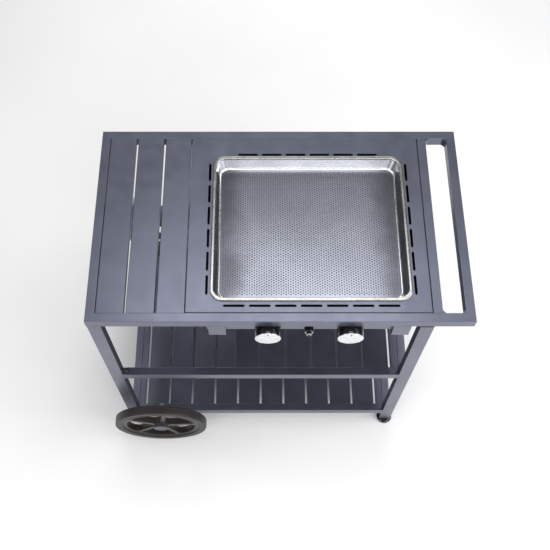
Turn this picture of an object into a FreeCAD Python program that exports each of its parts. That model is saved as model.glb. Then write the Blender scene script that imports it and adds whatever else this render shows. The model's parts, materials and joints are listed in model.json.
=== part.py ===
"""Wheeled outdoor kitchen trolley with a drop-in gas griddle.

Lengths are millimetres and +Z is up. While a piece is being made, X runs from the left
end of the top, Y from the front face of the frame and Z from the floor. Saving a piece
moves it so that the origin is the bottom centre of the whole object.
"""
import FreeCAD, Part
import math
import os
from FreeCAD import Vector

os.makedirs("parts", exist_ok=True)

# ---- overall sizes ----
top_length = 935.0          # slatted top, without the push handle
handle_reach = 85.0         # how far the push handle stands out to the right
depth = 600.0
work_height = 900.0

# ---- frame tube ----
tube_width = 25.0
tube_height = 32.0
tube_wall = 2.0
tube_edge = 1.2             # outer edge rounding
gusset_leg = 10.0
gusset_thick = 26.0

# ---- top surface ----
slat_zone = 236.0           # width of the slatted area at the left
top_slat_count = 3
top_slat_gap = 5.5
seam = 1.5                  # narrow line between the frame and what it holds
sheet = 2.0
slat_lip = 14.0
slat_edge = 1.6

# ---- griddle ----
pan_width = 536.0
pan_depth = 452.0
pan_shift_x = 7.75          # the pan's centre from the panel's centre
pan_shift_y = -15.5
pan_corner = 33.0
pan_drop = 32.0             # from the top surface to the pan's underside
pan_wall = 2.0
pan_bead = 9.0
pan_bead_height = 5.5
pan_slope = 10.0            # how far each wall leans in over its height
cutout_gap = 1.5
slot_width = 7.0
slot_length = 57.0
slot_pitch = 68.0
side_slot_pitch = 70.6
slots_back = 6
slots_front = 7
slots_side = 6
front_slot_gap = 12.9       # from the pan's rim to the middle of each row of slots
back_slot_gap = 8.5
side_slot_gap = 9.0
side_slot_shift = -2.0      # the side columns from the pan's centre

# ---- burner box and its front compartment ----
box_margin = 18.5           # burner box outside the pan's rim at the sides and back
box_front_inset = 3.5       # and inside it at the front
box_bottom = 90.0           # below the top surface
box_wall = 1.5
fascia_inset = 12.0         # each end of the fascia from the side of the box
fascia_y = 17.0
fascia_hole_gap = 1.5
control_shift = -4.5        # the middle of the controls from the pan's centre
knob_spacing = 220.0
control_drop = 70.0         # knob axis below the top surface
bracket_width = 46.0
bracket_inset = 6.5         # each hanger from the fascia's end
burner_radius = 12.5
burner_end_gap = 29.0       # from the burner's closed end to the back of the box
burner_mouth_gap = 8.0      # from the valve to the burner's open mouth
burner_hole_gap = 1.0
saddle_inset = 40.0
saddle_width = 12.0
ceramic_radius = 3.5
ceramic_height = 16.0
electrode_radius = 1.2
electrode_height = 24.0
electrode_gap = 12.0        # beside the burner
electrode_inset = 70.0      # behind the front of the box

# ---- gas train ----
stem_radius = 3.0
running_gap = 0.05
valve_width = 20.0
valve_height = 22.0
valve_front = 22.0
valve_back = 50.0
valve_bore_depth = 21.0
stem_depth = 14.0           # how far the stem reaches into the valve
jet_radius = 4.0
jet_length = 6.0
manifold_size = 12.0
manifold_edge = 2.0
manifold_reach = 13.5       # past the fascia's left end
manifold_end = 24.0         # past the right knob
inlet_radius = 8.25
inlet_thread = 16.0
inlet_bore = 4.0
shoulder_radius = 11.0
shoulder_length = 8.0

# ---- knobs and igniter ----
knob_radius = 35.5
knob_front = -18.0
knob_back = 12.0
knob_cap_thick = 2.0
knob_wall = 2.5
knob_edge = 1.2
knob_front_wall = 5.0
knob_core_radius = 9.0
stem_seat = 12.0            # from the knob's front to the end of the stem
cap_margin = 0.8
pointer_width = 3.0
pointer_length = 12.0
pointer_margin = 4.0
pointer_out = 0.8
igniter_radius = 12.4
igniter_bore = 7.7
bezel_thick = 2.0
bezel_gap = 0.6
button_radius = 7.5
button_edge = 1.2
button_out = 9.0
barrel_radius = 9.5
barrel_back = 52.0
spring_seat = 46.0
button_back = 14.0
spring_radius = 5.5
spring_wire = 0.6
spring_turns = 9

# ---- legs and feet ----
leg_width = 37.0
leg_inset = 1.0             # left legs from the left end
right_leg_inset = 18.0      # right legs from the right end of the worktop
foot_height = 15.0
foot_radius = 26.0
foot_pad = 11.0
foot_edge = 3.0
foot_neck_inset = 0.5       # neck inside the leg's front and back faces
spigot_gap = 2.5            # spigot inside the leg's wall
spigot_length = 22.0
rest_plate = 5.0
rest_plate_overhang = 14.0  # past the leg towards the middle
rest_plate_end_gap = 1.0    # from the right end of the worktop
rest_plate_inset = 3.0      # behind the front face
hook_radius = 7.5
hook_length = 13.0
hook_tip_radius = 5.0
hook_tip_length = 5.0
hook_rise = 12.0            # above the middle shelf

# ---- shelves ----
mid_shelf_height = 483.0    # top surface above the floor
low_shelf_height = 114.0
gas_bay_width = 342.0       # open bay for a gas bottle, left of the middle shelf
cross_rail_inset = 5.0
shelf_pitch = 79.0
shelf_gap = 6.5
first_gap = 62.7            # centre of the first gap of the lower shelf
shelf_lip = 12.0

# ---- wheels ----
wheel_radius = 152.5
wheel_centre_x = 122.0
wheel_face = 70.0           # outer face of the tyre beyond the frame
tyre_width = 30.0
tyre_section = 24.5
tyre_round = 11.0
rim_section = 14.0
rim_inset = 4.0
rim_back_inset = 1.0
spoke_count = 5
spoke_angle = 79.0
spoke_outer_width = 13.0
spoke_inner_width = 17.0
spoke_inset = 2.0           # behind the front of the rim
hub_radius = 26.0
hub_cap_radius = 25.0
hub_cap_out = 6.0
hub_cap_edge = 2.0
axle_radius = 6.0
axle_head_radius = 10.0
axle_head = 6.0
axle_head_gap = 2.0
axle_head_seat = 3.0        # depth left in front of the sunk head
axle_thread_out = 4.0       # past the nut
nut_radius = 10.0
nut_thick = 8.0
bracket_plate = 4.0
bracket_half = 21.0
side_gap = 0.3
screw_radius = 5.0
screw_out = 3.0
past = 1.0                  # how far a cutting tool reaches past a face

X_AXIS = Vector(1, 0, 0)
Y_AXIS = Vector(0, 1, 0)
Z_AXIS = Vector(0, 0, 1)

overall_length = top_length + handle_reach
wheel_overhang = wheel_radius - wheel_centre_x
left_end = (wheel_overhang - overall_length) / 2
front_face = -depth / 2
top = work_height
frame_under = top - tube_height
inner_left = tube_width
inner_right = top_length - tube_width
inner_back = depth - tube_width
leg_inner_left = leg_inset + leg_width
right_leg_left = top_length - right_leg_inset - leg_width
mid_shelf_left = leg_inner_left + gas_bay_width
axle_height = wheel_radius
control_height = top - control_drop

panel_left = inner_left + slat_zone
panel_right = inner_right - seam
panel_front = tube_width + seam
panel_back = inner_back - seam
pan_centre_x = (panel_left + panel_right) / 2 + pan_shift_x
pan_centre_y = (panel_front + panel_back) / 2 + pan_shift_y
pan_front = pan_centre_y - pan_depth / 2
pan_back = pan_centre_y + pan_depth / 2
mouth_width = pan_width - 2 * (pan_bead - pan_wall)
mouth_depth = pan_depth - 2 * (pan_bead - pan_wall)
mouth_corner = pan_corner - pan_bead

box_left = pan_centre_x - pan_width / 2 - box_margin
box_right = pan_centre_x + pan_width / 2 + box_margin
box_front = pan_front + box_front_inset
box_back = pan_back + box_margin
box_floor = top - box_bottom + box_wall
control_centre = pan_centre_x + control_shift
fascia_left = box_left + fascia_inset + control_shift
fascia_right = box_right - fascia_inset + control_shift
knob_places = {"left": control_centre - knob_spacing / 2, "right": control_centre + knob_spacing / 2}


def save(name, *solids):
    """Writes one node, moved so that the origin is the object's bottom centre."""
    shape = solids[0] if len(solids) == 1 else Part.makeCompound(list(solids))
    shape.translate(Vector(left_end, front_face, 0))
    shape.exportStep("parts/" + name + ".step")


def block(x0, x1, y0, y1, z0, z1):
    return Part.makeBox(x1 - x0, y1 - y0, z1 - z0, Vector(x0, y0, z0))


def rod(radius, start, direction, length):
    return Part.makeCylinder(radius, length, Vector(*start), Vector(*direction))


def edges_along(shape, axis):
    """Straight edges that run along one axis."""
    found = []
    for edge in shape.Edges:
        if edge.Curve.TypeId != "Part::GeomLine":
            continue
        if abs(abs(edge.tangentAt(edge.FirstParameter).dot(axis)) - 1) < 1e-6:
            found.append(edge)
    return found


def soft_block(x0, x1, y0, y1, z0, z1, axis, radius):
    """A block whose four edges along one axis are rounded."""
    solid = block(x0, x1, y0, y1, z0, z1)
    return solid.makeFillet(radius, edges_along(solid, axis))


def tube(x0, x1, y0, y1, z0, z1, axis):
    """Rectangular tube whose hollow runs the whole way along its axis."""
    outer = soft_block(x0, x1, y0, y1, z0, z1, axis, tube_edge)
    w = tube_wall
    if axis.x:
        return outer.cut(block(x0, x1, y0 + w, y1 - w, z0 + w, z1 - w))
    if axis.y:
        return outer.cut(block(x0 + w, x1 - w, y0, y1, z0 + w, z1 - w))
    return outer.cut(block(x0 + w, x1 - w, y0 + w, y1 - w, z0, z1))


def prism(points, z0, z1):
    """Upright prism over a flat outline."""
    corners = [Vector(x, y, z0) for x, y in points]
    face = Part.Face(Part.makePolygon(corners + corners[:1]))
    return face.extrude(Vector(0, 0, z1 - z0))


def rounded_wire(width, length, radius, z, centre_x=pan_centre_x, centre_y=pan_centre_y):
    """Flat rounded rectangle as one wire."""
    plate = Part.makeBox(width, length, 1, Vector(centre_x - width / 2, centre_y - length / 2, z))
    plate = plate.makeFillet(radius, edges_along(plate, Vector(0, 0, 1)))
    for face in plate.Faces:
        if face.normalAt(0, 0).z < -0.99:
            return face.OuterWire


def rounded_plate(width, length, radius, z0, z1):
    return Part.Face(rounded_wire(width, length, radius, z0)).extrude(Vector(0, 0, z1 - z0))


def hexagon(radius, centre, direction, length):
    """Six-sided bar along X or Y."""
    ring = []
    for number in range(6):
        a = math.radians(60 * number)
        across = X_AXIS if direction.y else Y_AXIS
        ring.append(Vector(*centre) + across * (radius * math.cos(a)) + Z_AXIS * (radius * math.sin(a)))
    return Part.Face(Part.makePolygon(ring + ring[:1])).extrude(direction * length)


def mirrored(shape):
    """The same piece at the back of the object."""
    return shape.mirror(Vector(0, depth / 2, 0), Y_AXIS)


# ---- top frame: mitred ring that carries on into the push handle ----
def long_rail():
    rail = tube(0, overall_length, 0, tube_width, frame_under, top, X_AXIS)
    w = tube_width
    mitre = prism([(0, 0), (overall_length, 0), (overall_length - w, w), (w, w)], frame_under, top)
    return rail.common(mitre)


def end_rail(x0, outward):
    """Mitred at both ends. outward is -1 for the left end and 1 for the right."""
    rail = tube(x0, x0 + tube_width, 0, depth, frame_under, top, Y_AXIS)
    outer_x = x0 if outward < 0 else x0 + tube_width
    inner_x = x0 + tube_width if outward < 0 else x0
    w = tube_width
    mitre = prism([(outer_x, 0), (inner_x, w), (inner_x, depth - w), (outer_x, depth)],
                  frame_under, top)
    return rail.common(mitre)


def handle_gussets():
    """Small corner blocks inside the four corners of the handle opening."""
    z1 = top - (tube_height - gusset_thick) / 2
    z0 = z1 - gusset_thick
    blocks = []
    for x, sx in ((top_length, 1), (overall_length - tube_width, -1)):
        for y, sy in ((tube_width, 1), (inner_back, -1)):
            corner = [(x, y), (x + sx * gusset_leg, y), (x, y + sy * gusset_leg)]
            blocks.append(prism(corner, z0, z1))
    return blocks


def channel_slat(x0, x1, y0, y1, z_top, lip):
    """Folded sheet slat, open underneath."""
    outer = soft_block(x0, x1, y0, y1, z_top - 2 * lip, z_top, Y_AXIS, slat_edge)
    outer = outer.common(block(x0, x1, y0, y1, z_top - lip, z_top))
    return outer.cut(block(x0 + sheet, x1 - sheet, y0, y1, z_top - lip, z_top - sheet))


save("top_front_rail", long_rail())
save("top_back_rail", mirrored(long_rail()))
save("top_left_rail", end_rail(0, -1))
save("handle_bar", end_rail(overall_length - tube_width, 1))
save("top_right_rail", tube(inner_right, top_length, tube_width, inner_back, frame_under, top, Y_AXIS))
save("handle_gussets", *handle_gussets())

slat_width = (slat_zone - 2 * seam - (top_slat_count - 1) * top_slat_gap) / top_slat_count
for number in range(top_slat_count):
    x0 = inner_left + seam + number * (slat_width + top_slat_gap)
    slat = channel_slat(x0, x0 + slat_width, tube_width, inner_back, top, slat_lip)
    save("top_slat_%d" % (number + 1), slat)


# ---- griddle panel: folded sheet with the pan's cut-out and a ring of vent slots ----
def vent_slot(x, y, along_x):
    half = slot_length / 2
    r = slot_width / 2
    z0 = top - 3 * sheet
    z1 = top + sheet
    if along_x:
        slot = block(x - half + r, x + half - r, y - r, y + r, z0, z1)
        ends = [(x - half + r, y), (x + half - r, y)]
    else:
        slot = block(x - r, x + r, y - half + r, y + half - r, z0, z1)
        ends = [(x, y - half + r), (x, y + half - r)]
    for ex, ey in ends:
        slot = slot.fuse(rod(r, (ex, ey, z0), (0, 0, 1), z1 - z0))
    return slot


def griddle_panel():
    z0 = top - slat_lip
    outer = block(panel_left, panel_right, panel_front, panel_back, z0, top)
    rims = [e for e in outer.Edges if min(v.Z for v in e.Vertexes) > top - 1e-6]
    panel = outer.makeFillet(slat_edge, rims)
    panel = panel.cut(block(panel_left + sheet, panel_right - sheet,
                            panel_front + sheet, panel_back - sheet, z0, top - sheet))
    panel = panel.cut(rounded_plate(mouth_width + 2 * cutout_gap, mouth_depth + 2 * cutout_gap,
                                    mouth_corner + cutout_gap, top - 3 * sheet, top + sheet))
    slots = []
    for count, y in ((slots_back, pan_back + back_slot_gap), (slots_front, pan_front - front_slot_gap)):
        for number in range(count):
            x = pan_centre_x + (number - (count - 1) / 2) * slot_pitch
            slots.append(vent_slot(x, y, True))
    for side in (-1, 1):
        x = pan_centre_x + side * (pan_width / 2 + side_slot_gap)
        for number in range(slots_side):
            y = pan_centre_y + side_slot_shift + (number - (slots_side - 1) / 2) * side_slot_pitch
            slots.append(vent_slot(x, y, False))
    for slot in slots:
        panel = panel.cut(slot)
    return panel


def griddle_pan():
    """Pressed tray: leaning walls and a raised bead round the edge that rests on the panel."""
    z_under = top - pan_drop
    outer = Part.makeLoft([rounded_wire(mouth_width, mouth_depth, mouth_corner, top),
                           rounded_wire(mouth_width - 2 * pan_slope, mouth_depth - 2 * pan_slope,
                                        mouth_corner - pan_slope / 2, z_under)], True, True)
    rim = rounded_plate(pan_width, pan_depth, pan_corner, top, top + pan_bead_height)
    rims = [e for e in rim.Edges if min(v.Z for v in e.Vertexes) > top + pan_bead_height - 1e-6]
    rim = rim.makeFillet(pan_bead_height * 0.45, rims)
    cavity_high = 2 * pan_bead_height
    lean = pan_slope * (pan_drop + cavity_high) / pan_drop
    inner = Part.makeLoft([
        rounded_wire(mouth_width - 2 * pan_wall + 2 * (lean - pan_slope),
                     mouth_depth - 2 * pan_wall + 2 * (lean - pan_slope),
                     mouth_corner, top + cavity_high),
        rounded_wire(mouth_width - 2 * pan_wall - 2 * pan_slope,
                     mouth_depth - 2 * pan_wall - 2 * pan_slope,
                     mouth_corner - pan_slope / 2, z_under + pan_wall)], True, True)
    return outer.fuse(rim).cut(inner).removeSplitter()


save("griddle_panel", griddle_panel())
save("griddle_pan", griddle_pan())


# ---- burner box, burners and the ignition electrodes ----
def burner_box():
    outer = block(box_left, box_right, box_front, box_back, top - box_bottom, top - sheet)
    shell = outer.cut(block(box_left + box_wall, box_right - box_wall, box_front + box_wall,
                            box_back - box_wall, box_floor, top))
    for x in knob_places.values():
        hole = rod(burner_radius + burner_hole_gap, (x, box_front - box_wall, control_height),
                   (0, 1, 0), 3 * box_wall)
        shell = shell.cut(hole)
    return shell


def burner(x):
    """Straight tube burner: open venturi mouth in front, closed end behind, two saddles."""
    mouth = valve_back + burner_mouth_gap
    burner_back = box_back - burner_end_gap
    body = rod(burner_radius, (x, mouth, control_height), (0, 1, 0), burner_back - mouth)
    bore = rod(burner_radius - sheet, (x, mouth - past, control_height), (0, 1, 0),
               burner_back - mouth + past - sheet)
    for y in (box_front + saddle_inset, burner_back - saddle_inset):
        saddle = block(x - burner_radius, x + burner_radius, y, y + saddle_width, box_floor,
                       control_height)
        body = body.fuse(saddle)
    return body.cut(bore)


def electrode(x):
    """Ceramic stick with a thin tip beside the burner."""
    place = (x + burner_radius + electrode_gap, box_front + electrode_inset, box_floor)
    stick = rod(ceramic_radius, place, (0, 0, 1), ceramic_height)
    return stick.fuse(rod(electrode_radius, place, (0, 0, 1), electrode_height))


save("burner_box", burner_box())
for side, x in knob_places.items():
    save("burner_" + side, burner(x))
save("igniter_electrodes", *[electrode(x) for x in knob_places.values()])


# ---- front compartment: fascia, hangers, manifold and valves ----
def control_panel():
    """Upright fascia with a floor that runs back to the burner box."""
    z0 = top - box_bottom
    plate = block(fascia_left, fascia_right, fascia_y, fascia_y + sheet, z0, frame_under)
    shelf = block(fascia_left, fascia_right, fascia_y, box_front, z0, z0 + sheet)
    plate = plate.fuse(shelf).removeSplitter()
    holes = [(x, stem_radius + fascia_hole_gap) for x in knob_places.values()]
    for x, radius in holes + [(control_centre, barrel_radius)]:
        plate = plate.cut(rod(radius, (x, fascia_y - past, control_height), (0, 1, 0), sheet + 2 * past))
    return plate


def hanger_bracket(x):
    """U-shaped drop plate, flush with the front rail and closed back onto the fascia."""
    x0 = x - bracket_width / 2
    x1 = x + bracket_width / 2
    z0 = top - box_bottom
    outer = block(x0, x1, 0, fascia_y, z0, frame_under)
    return outer.cut(block(x0 + sheet, x1 - sheet, sheet, fascia_y, z0, frame_under))


def gas_valve(x):
    body = block(x - valve_width / 2, x + valve_width / 2, valve_front, valve_back,
                 control_height - valve_height / 2, control_height + valve_height / 2)
    jet = rod(jet_radius, (x, valve_back, control_height), (0, 1, 0), jet_length)
    bore = rod(stem_radius + running_gap, (x, valve_front - past, control_height), (0, 1, 0),
               valve_bore_depth + past)
    return body.fuse(jet).cut(bore)


def gas_manifold():
    z0 = control_height + valve_height / 2
    y0 = (valve_front + valve_back - manifold_size) / 2
    right = knob_places["right"] + manifold_end
    bar = block(fascia_left - manifold_reach, right, y0, y0 + manifold_size, z0, z0 + manifold_size)
    return bar.makeFillet(manifold_edge, edges_along(bar, X_AXIS))


def gas_inlet():
    """Hexagon shoulder and outside thread for the hose nut."""
    start = fascia_left - manifold_reach
    y = (valve_front + valve_back) / 2
    z = control_height + valve_height / 2 + manifold_size / 2
    shoulder = hexagon(shoulder_radius, (start, y, z), Vector(-1, 0, 0), shoulder_length)
    thread = rod(inlet_radius, (start - shoulder_length, y, z), (-1, 0, 0), inlet_thread)
    bore = rod(inlet_bore, (start, y, z), (-1, 0, 0), shoulder_length + inlet_thread)
    return shoulder.fuse(thread).cut(bore)


save("control_panel", control_panel())
hanger_places = [fascia_left + bracket_inset + bracket_width / 2,
                 fascia_right - bracket_inset - bracket_width / 2]
save("hanger_brackets", *[hanger_bracket(x) for x in hanger_places])
save("gas_valves", *[gas_valve(x) for x in knob_places.values()])
save("gas_manifold", gas_manifold())
save("gas_inlet", gas_inlet())


# ---- knobs on their valve stems ----
def valve_stem(x):
    start = knob_front + stem_seat
    return rod(stem_radius, (x, start, control_height), (0, 1, 0), valve_front + stem_depth - start)


def knob(x):
    """Hollow skirt with a solid middle that the stem fits into."""
    length = knob_back - knob_front
    body = rod(knob_radius, (x, knob_front, control_height), (0, 1, 0), length)
    rims = [e for e in body.Edges if e.Curve.TypeId == "Part::GeomCircle"]
    body = body.makeFillet(knob_edge, rims)
    inside = (x, knob_front + knob_front_wall, control_height)
    hollow = rod(knob_radius - knob_wall, inside, (0, 1, 0), length)
    hollow = hollow.cut(rod(knob_core_radius, inside, (0, 1, 0), length))
    socket = rod(stem_radius, (x, knob_front + stem_seat, control_height), (0, 1, 0), length)
    return body.cut(hollow).cut(socket)


def knob_cap(x):
    """Metal face with a raised pointer near its top edge."""
    disc = rod(knob_radius - cap_margin, (x, knob_front - knob_cap_thick, control_height), (0, 1, 0),
               knob_cap_thick)
    z1 = control_height + knob_radius - pointer_margin
    pointer = block(x - pointer_width / 2, x + pointer_width / 2,
                    knob_front - knob_cap_thick - pointer_out, knob_front, z1 - pointer_length, z1)
    return disc.fuse(pointer)


for side, x in knob_places.items():
    save("valve_stem_" + side, valve_stem(x))
    save("knob_" + side, knob(x))
    save("knob_cap_" + side, knob_cap(x))


# ---- push igniter ----
def igniter_body():
    x, z = control_centre, control_height
    collar = rod(igniter_radius, (x, 0, z), (0, 1, 0), fascia_y)
    barrel = rod(barrel_radius, (x, fascia_y, z), (0, 1, 0), barrel_back - fascia_y)
    bore = rod(igniter_bore, (x, -past, z), (0, 1, 0), spring_seat + past)
    return collar.fuse(barrel).cut(bore)


def igniter_spring():
    length = spring_seat - button_back - 2 * spring_wire
    helix = Part.makeHelix(length / spring_turns, length, spring_radius)
    section = Part.Wire(Part.makeCircle(spring_wire, Vector(spring_radius, 0, 0), Y_AXIS))
    spring = Part.Wire(helix).makePipeShell([section], True, True)
    spring.rotate(Vector(), X_AXIS, -90)
    spring.translate(Vector(control_centre, button_back + spring_wire, control_height))
    return spring


def igniter_button():
    x, z = control_centre, control_height
    front = rod(button_radius, (x, -button_out, z), (0, 1, 0), button_back + button_out)
    rims = [e for e in front.Edges if e.Curve.TypeId == "Part::GeomCircle" and e.CenterOfMass.y < 0]
    return front.makeFillet(button_edge, rims)


def igniter_bezel():
    x, z = control_centre, control_height
    ring = rod(igniter_radius, (x, -bezel_thick, z), (0, 1, 0), bezel_thick)
    return ring.cut(rod(igniter_bore + bezel_gap, (x, -bezel_thick, z), (0, 1, 0), bezel_thick))


save("igniter_body", igniter_body())
save("igniter_spring", igniter_spring())
save("igniter_button", igniter_button())
save("igniter_bezel", igniter_bezel())


# ---- legs ----
low_rail_under = low_shelf_height - tube_height
leg_top_right = frame_under - rest_plate


def leg(x0, z0, z1):
    return tube(x0, x0 + leg_width, 0, tube_width, z0, z1, Z_AXIS)


left_leg = leg(leg_inset, low_rail_under, frame_under)
right_leg = leg(right_leg_left, foot_height, leg_top_right)
save("leg_front_left", left_leg.copy())
save("leg_back_left", mirrored(left_leg))
save("leg_front_right", right_leg.copy())
save("leg_back_right", mirrored(right_leg))

rest = block(right_leg_left - rest_plate_overhang, top_length - rest_plate_end_gap,
             rest_plate_inset, tube_width, leg_top_right, frame_under)
save("leg_plates", rest.copy(), mirrored(rest))


def glide_foot():
    """Round pad with a domed shoulder and a spigot inside the leg."""
    x = right_leg_left + leg_width / 2
    y = tube_width / 2
    pad = rod(foot_radius, (x, y, 0), (0, 0, 1), foot_pad)
    rims = [e for e in pad.Edges if e.Curve.TypeId == "Part::GeomCircle"]
    pad = pad.makeFillet(foot_edge, rims)
    neck = rod(y - foot_neck_inset, (x, y, 0), (0, 0, 1), foot_height)
    spigot = rod(y - tube_wall - spigot_gap, (x, y, 0), (0, 0, 1), foot_height + spigot_length)
    return pad.fuse(neck).fuse(spigot)


foot = glide_foot()
save("glide_feet", foot.copy(), mirrored(foot))


def leg_hook():
    """Round-headed hook pin on the inner face of the front left leg."""
    z = mid_shelf_height + hook_rise
    y = tube_width / 2
    base = rod(hook_radius, (leg_inner_left, y, z), (1, 0, 0), hook_length)
    tip = rod(hook_tip_radius, (leg_inner_left + hook_length, y, z), (1, 0, 0), hook_tip_length)
    return base.fuse(tip)


save("leg_hook", leg_hook())


# ---- shelves ----
def shelf_rail(z_top):
    return tube(leg_inner_left, right_leg_left, 0, tube_width, z_top - tube_height, z_top, X_AXIS)


def side_rail(x0, z_top, drop=0.0):
    return tube(x0, x0 + tube_width, tube_width, inner_back, z_top - tube_height, z_top - drop, Y_AXIS)


def shelf_slats(left, right, z_top):
    """Slats between the side rails, on one grid for both shelves."""
    edges = [left]
    gap = first_gap
    while gap < right - shelf_gap:
        if gap > left + shelf_gap:
            edges += [gap - shelf_gap / 2, gap + shelf_gap / 2]
        gap += shelf_pitch
    edges.append(right)
    pairs = zip(edges[0::2], edges[1::2])
    return [channel_slat(x0, x1, tube_width, inner_back, z_top, shelf_lip) for x0, x1 in pairs]


left_rail_x = leg_inner_left - tube_width
for name, height in (("mid", mid_shelf_height), ("low", low_shelf_height)):
    rail = shelf_rail(height)
    save(name + "_front_rail", rail.copy())
    save(name + "_back_rail", mirrored(rail))
    save(name + "_right_rail", side_rail(right_leg_left, height))
save("low_left_rail", side_rail(left_rail_x, low_shelf_height))
save("mid_cross_rail", side_rail(mid_shelf_left + cross_rail_inset, mid_shelf_height, shelf_lip))
save("mid_shelf_slats", *shelf_slats(mid_shelf_left, right_leg_left, mid_shelf_height))
save("low_shelf_slats", *shelf_slats(leg_inner_left, right_leg_left, low_shelf_height))


# ---- wheels ----
wheel_inner = tyre_width - wheel_face
tyre_bore = wheel_radius - tyre_section
rim_bore = tyre_bore - rim_section


def turned(points):
    """Solid of revolution about the wheel's axle from (radius, y) points."""
    corners = [Vector(wheel_centre_x + r, y, axle_height) for r, y in points]
    face = Part.Face(Part.makePolygon(corners + corners[:1]))
    return face.revolve(Vector(wheel_centre_x, 0, axle_height), Y_AXIS, 360)


def tyre():
    y0 = -wheel_face
    y1 = wheel_inner
    ring = turned([(tyre_bore, y0), (wheel_radius, y0), (wheel_radius, y1), (tyre_bore, y1)])
    rims = [e for e in ring.Edges if e.Curve.TypeId == "Part::GeomCircle"
            and e.Curve.Radius > wheel_radius - 1]
    return ring.makeFillet(tyre_round, rims)


def rim():
    """Rim ring, hub and deep narrow spokes."""
    y0 = rim_inset - wheel_face
    y1 = wheel_inner - rim_back_inset
    body = turned([(rim_bore, y0), (tyre_bore, y0), (tyre_bore, y1), (rim_bore, y1)])
    hub = rod(hub_radius, (wheel_centre_x, y0, axle_height), (0, 1, 0), wheel_inner - y0)
    body = body.fuse(hub)
    reach = rim_bore + rim_section / 2
    for number in range(spoke_count):
        spoke = Part.Face(Part.makePolygon([
            Vector(0, 0, -spoke_inner_width / 2), Vector(reach, 0, -spoke_outer_width / 2),
            Vector(reach, 0, spoke_outer_width / 2), Vector(0, 0, spoke_inner_width / 2),
            Vector(0, 0, -spoke_inner_width / 2)]))
        spoke = spoke.extrude(Vector(0, y1 - y0 - spoke_inset, 0))
        spoke.rotate(Vector(), Y_AXIS, -(spoke_angle + number * 360 / spoke_count))
        spoke.translate(Vector(wheel_centre_x, y0 + spoke_inset, axle_height))
        body = body.fuse(spoke)
    bore = rod(axle_radius + running_gap, (wheel_centre_x, y0 - past, axle_height), (0, 1, 0),
               2 * tyre_width)
    recess = rod(axle_head_radius + axle_head_gap, (wheel_centre_x, y0 - past, axle_height), (0, 1, 0),
                 past + axle_head + axle_head_seat)
    return body.cut(bore).cut(recess).removeSplitter()


def hub_cap():
    """Flat cover over the bolt head."""
    y0 = rim_inset - wheel_face
    out = hub_cap_out + rim_inset
    disc = rod(hub_cap_radius, (wheel_centre_x, y0 - out, axle_height), (0, 1, 0), out)
    rims = [e for e in disc.Edges if e.Curve.TypeId == "Part::GeomCircle"
            and e.CenterOfMass.y < y0 - out + 1e-6]
    return disc.makeFillet(hub_cap_edge, rims)


def axle():
    """Shoulder bolt from the hub recess through the bracket, with its washer sleeve."""
    head_back = rim_inset - wheel_face + axle_head + axle_head_seat - side_gap
    end = nut_thick + axle_thread_out
    head = rod(axle_head_radius, (wheel_centre_x, head_back - axle_head, axle_height), (0, 1, 0),
               axle_head)
    shank = rod(axle_radius, (wheel_centre_x, head_back, axle_height), (0, 1, 0), end - head_back)
    sleeve_front = wheel_inner + side_gap
    sleeve = rod(axle_head_radius, (wheel_centre_x, sleeve_front, axle_height), (0, 1, 0),
                 -bracket_plate - sleeve_front)
    return head.fuse(shank).fuse(sleeve)


def axle_nut():
    nut = hexagon(nut_radius, (wheel_centre_x, 0, axle_height), Y_AXIS, nut_thick)
    return nut.cut(rod(axle_radius, (wheel_centre_x, -past, axle_height), (0, 1, 0),
                       nut_thick + 2 * past))


def axle_bracket():
    """Plate on the lower front rail with a rounded head round the axle."""
    x0 = wheel_centre_x - bracket_half
    x1 = wheel_centre_x + bracket_half
    plate = block(x0, x1, -bracket_plate, 0, low_rail_under, axle_height)
    head = rod(bracket_half, (wheel_centre_x, -bracket_plate, axle_height), (0, 1, 0), bracket_plate)
    hole = rod(axle_radius, (wheel_centre_x, -bracket_plate - past, axle_height), (0, 1, 0),
               bracket_plate + 2 * past)
    return plate.fuse(head).cut(hole).removeSplitter()


wheel_parts = {"tyre": tyre(), "rim": rim(), "hub_cap": hub_cap(), "axle": axle()}
for name, shape in wheel_parts.items():
    save("front_" + name, shape.copy())
    save("back_" + name, mirrored(shape))
save("axle_nuts", axle_nut(), mirrored(axle_nut()))
save("axle_brackets", axle_bracket(), mirrored(axle_bracket()))


# ---- screws that hold the hangers and the axle brackets ----
def pan_head_screw(x, y, z):
    """Domed head that stands out to the front."""
    head = rod(screw_radius, (x, y - screw_out, z), (0, 1, 0), screw_out)
    rims = [e for e in head.Edges if e.Curve.TypeId == "Part::GeomCircle"
            and e.CenterOfMass.y < y - screw_out + 1e-6]
    return head.makeFillet(screw_out * 0.6, rims)


screws = []
for side in (-1, 1):
    x = wheel_centre_x + side * bracket_half / 2
    screw = pan_head_screw(x, -bracket_plate, low_rail_under + tube_height / 2)
    screws += [screw, mirrored(screw)]
save("bracket_screws", *screws)
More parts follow.
